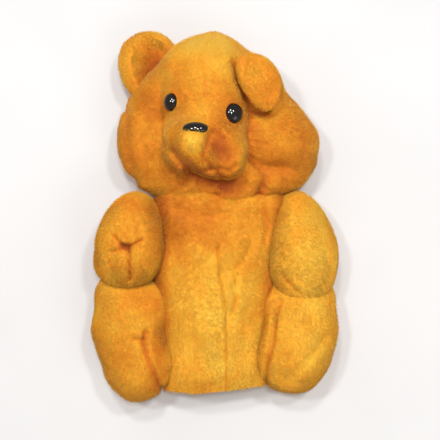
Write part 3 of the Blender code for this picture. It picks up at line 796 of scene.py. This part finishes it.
def double_walled(outer, faces, normals, thickness):
    """A tube of cloth from its outside: an inner wall, and a rim at each end."""
    inner = outer - normals * thickness
    inner[:, 2] = np.maximum(inner[:, 2], FLOOR_GAP + 0.5)
    count, rims = len(outer), []
    last = count - GLOVE_COLUMNS
    for i in range(GLOVE_COLUMNS):
        k = (i + 1) % GLOVE_COLUMNS
        a, b = last + i, last + k
        rims += [(i, count + k, k), (i, count + i, count + k)]
        rims += [(a, b, count + b), (a, count + b, count + a)]
    walls = [faces, faces[:, ::-1] + count, np.array(rims)]
    return np.concatenate([outer, inner]), np.concatenate(walls)


def build_glove():
    outer = glove_surface()
    faces = tube_faces(len(outer) // GLOVE_COLUMNS, GLOVE_COLUMNS)[:, ::-1]
    outer = lumpy(outer, faces, 0.8, 31)
    normals = normals_of(outer, faces)
    points, closed = double_walled(outer, faces, normals, PLUSH_THICKNESS)
    covered = ("back_panel", "belly_panel_left", "belly_panel_right", "neck_collar", "neck_gusset")
    skin, facts = skin_piece("glove_skin", points, closed, glove_tone, GLOVE_FOLDS, covered)
    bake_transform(skin)
    facts.update(points=outer, faces=faces, normals=normals)  # pile grows on the outside only
    pile("glove_pile", facts, 105, toward(0.1, -1.0), bending(*GLOVE_BEND))
    for name, inset, rows in CLOTHS:
        cloth = (outer - normals * inset)[: rows * GLOVE_COLUMNS]
        cloth[:, 2] = np.maximum(cloth[:, 2], FLOOR_GAP + inset)
        cloth_faces = tube_faces(rows, GLOVE_COLUMNS)
        obj = make_mesh(name + "_cloth", cloth, cloth_faces, LINING)
        unwrap(obj.data, cloth, cloth_faces, normals_of(cloth, cloth_faces))
        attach(obj, "torso")
        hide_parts(name)


# ---------------------------------------------------------------- limbs

ARM_RIGHT_FOLDS = (
    (2.8, 5.5, ((-78, -26), (-73.5, -28))),
    (1.4, 4.0, ((-73.5, -28), (-72.5, -40), (-73, -54))),
    (1.6, 3.4, ((-76, -26), (-82, -22.5), (-86, -17))),
    (1.6, 3.8, ((-75, -26), (-69, -24.5), (-62, -20.5))),
    (1.5, 1.6, ((-66, -8), (-66.5, -19))),
    (1.5, 1.6, ((-75, -12), (-75.5, -20))),
    (1.8, 2.2, ((-89, -31), (-78, -28))),
)
ARM_LEFT_FOLDS = (
    (1.8, 1.8, ((64, -57), (68, -62), (73, -67))),
    (1.8, 1.2, ((70, -52), (76, -59))),
    (1.6, 1.0, ((58, -50), (62, -56))),
)
LEG_RIGHT_FOLDS = (
    (2.4, 3.4, ((-60, -100), (-61.5, -108), (-57, -125), (-50, -143), (-48, -152))),
    (1.8, 1.8, ((-70, -106), (-62, -106))),
)
LEG_LEFT_FOLDS = (
    (2.2, 2.8, ((56, -74), (52, -96), (49.5, -114), (45.5, -128), (45, -148))),
    (5.0, 1.8, ((97, -104), (84, -120), (68, -138))),
)


def arm_right_field(p):
    paw = join(blob(p, (-75, -27, 36), (31, 38, 36)), blob(p, (-79, -42, 31), (27, 22, 29)), 8)
    top = blob(p, (-70, -2, 34), (21, 24, 28), turn=-6)
    return rest_on_floor(p, folded(p, join(paw, top, 12), ARM_RIGHT_FOLDS))


def arm_left_field(p):
    paw = blob(p, (78, -39, 30), (32.5, 43, 30))
    top = blob(p, (73, -5, 26), (22.5, 27, 25))
    return rest_on_floor(p, folded(p, join(paw, top, 14), ARM_LEFT_FOLDS))


def leg_right_field(p):
    thigh = join(blob(p, (-76, -96, 30), (33.5, 38, 31)), blob(p, (-57, -84, 24), (22, 26, 24)), 8)
    thigh = join(thigh, blob(p, (-88.5, -71.5, 24), (19.5, 21, 22)), 6)
    foot = blob(p, (-66.5, -129, 31), (33.5, 36, 32), turn=-12)
    d = join(thigh, foot, 12) + spot(p, -46, -122, 8, 24, 4.5)
    return rest_on_floor(p, folded(p, d, LEG_RIGHT_FOLDS))


def leg_left_field(p):
    thigh = join(blob(p, (76.5, -96, 29), (34, 36, 29.5)), blob(p, (56, -80, 24), (20, 24, 24)), 8)
    thigh = join(thigh, blob(p, (88, -76, 23), (20, 22, 22)), 6)
    foot = blob(p, (68.5, -123, 30), (34, 35, 31.5), turn=16)
    foot = join(foot, blob(p, (56, -134, 26), (19, 20, 26)), 6)
    return rest_on_floor(p, folded(p, join(thigh, foot, 12), LEG_LEFT_FOLDS))


def limb_tone(p, up):
    """The body's tones, with painted shade on the inner sides that face the body, and yellower on the
    paws and the left leg.
    """
    # painted shade on the legs' inner sides, and below where a limb's side faces the body
    tone = body_tone(p, up) + spot(p, -47, -122, 9, 22, -0.08) + spot(p, 44, -105, 7, 26, -0.12)
    tone = tone - 0.2 * np.clip(-np.sign(p[:, 0]) * up[:, 0] - 0.5, 0, 0.5)
    tone = tone + spot(p, 82, -34, 26, 40, 0.14) + spot(p, 84, -100, 22, 34, 0.12)
    return tone + spot(p, -80, -38, 26, 40, 0.07)


LIMBS = {
    # field, folds, middle, reach, what it stands for, how full, how the pile lies, what holds it
    "arm_right": (
        arm_right_field, ARM_RIGHT_FOLDS, (-74, -22, 34), 62,
        ("sleeve_right", "paw_right", "paw_right_filling"), 0.55, (0.0, -1.0, 0.1),
        bending("arm_right", "paw_right", (0, 0, 0.032), (0, 0, 0.050)),
    ),
    "arm_left": (
        arm_left_field, ARM_LEFT_FOLDS, (76, -30, 28), 66,
        ("sleeve_left", "paw_left", "paw_left_filling"), 0.55, (0.1, -1.0, 0.1),
        bending("arm_left", "paw_left", (0, -0.030, 0.027), (0, -0.050, 0.027)),
    ),
    "leg_right": (
        leg_right_field, LEG_RIGHT_FOLDS, (-72, -113, 28), 70,
        ("leg_right_front", "leg_right_back", "leg_right_filling"), 0.8, (-0.3, -1.0, 0.0),
        riding("leg_right"),
    ),
    "leg_left": (
        leg_left_field, LEG_LEFT_FOLDS, (72, -110, 28), 70,
        ("leg_left_front", "leg_left_back", "leg_left_filling"), 0.8, (0.3, -1.0, 0.0),
        riding("leg_left"),
    ),
}


def build_limbs():
    for i, (name, values) in enumerate(LIMBS.items()):
        field, folds, middle, reach, covered, fill, way, hold = values
        points, faces = ball_skin(field, middle, reach, 5)
        points = lumpy(points, faces, 0.5, 41 + i)
        skin, facts = skin_piece(f"{name}_skin", points, faces, limb_tone, folds, covered)
        hold(skin)
        pile(f"{name}_pile", facts, 111 + i, toward(*way), hold)


# ---------------------------------------------------------------- floor, light, camera

KEY_PLACES = ((-0.75, 0.5), (0.1, 0.3), (-0.25, 1.0), (0.6, 0.75))  # four keys, metres
KEY_HEIGHT, KEY_POWER, KEY_SIZE, KEY_COLOUR = 2.0, 12.2, 0.2, (0.97, 0.99, 1.0)
FILL_PLACE, FILL_POWER, FILL_SIZE = (1.1, -1.1, 1.6), 6, 1.0
LIGHT_TARGET = (0, 0, 0.03)
WORLD_COLOUR, WORLD_STRENGTH = (1.0, 0.90, 0.80, 1.0), 0.49
CAMERA_PLACE = (0.00445, -0.004, 0.9516)  # it looks straight down, like the photograph's
LENS, SENSOR = 85.0, 36.0


def build_stage():
    bm = bmesh.new()
    bmesh.ops.create_grid(bm, x_segments=1, y_segments=1, size=3.0)
    mesh = bpy.data.meshes.new("floor")
    bm.to_mesh(mesh)
    bm.free()
    floor = bpy.data.objects.new("floor", mesh)
    bpy.context.scene.collection.objects.link(floor)
    made, tree, shader = new_material("floor_paper")
    coordinates = add_node(tree, "ShaderNodeTexCoord")
    cloud = noise(tree, coordinates.outputs["Object"], 6.0)
    pale = ramp(tree, cloud, ((0.3, (0.63, 0.63, 0.64)), (0.7, (0.67, 0.67, 0.68))))
    tree.links.new(pale, shader.inputs["Base Color"])
    shader.inputs["Roughness"].default_value = 0.9
    mesh.materials.append(made)


def area_light(name, place, power, size, colour=(1, 1, 1)):
    light = bpy.data.lights.new(name, "AREA")
    light.energy, light.size, light.color = power, size, colour
    obj = bpy.data.objects.new(name, light)
    obj.location = place
    obj.rotation_euler = (Vector(LIGHT_TARGET) - Vector(place)).to_track_quat("-Z", "Y").to_euler()
    bpy.context.scene.collection.objects.link(obj)


def build_light():
    world = bpy.data.worlds.new("studio")
    bpy.context.scene.world = world
    world.use_nodes = True
    background = world.node_tree.nodes["Background"]
    background.inputs["Color"].default_value = WORLD_COLOUR
    background.inputs["Strength"].default_value = WORLD_STRENGTH
    for i, (x, y) in enumerate(KEY_PLACES):
        area_light(f"key_{i + 1}", (x, y, KEY_HEIGHT), KEY_POWER, KEY_SIZE, KEY_COLOUR)
    area_light("fill", FILL_PLACE, FILL_POWER, FILL_SIZE)


def build_camera():
    data = bpy.data.cameras.new("camera")
    data.lens, data.sensor_width = LENS, SENSOR
    camera = bpy.data.objects.new("camera", data)
    camera.location = CAMERA_PLACE
    bpy.context.scene.collection.objects.link(camera)
    bpy.context.scene.camera = camera
    bpy.context.scene.view_settings.view_transform = "Standard"


build_head()
build_ears()
build_glove()
build_limbs()
build_stage()
build_light()
build_camera()

bpy.context.view_layer.update()
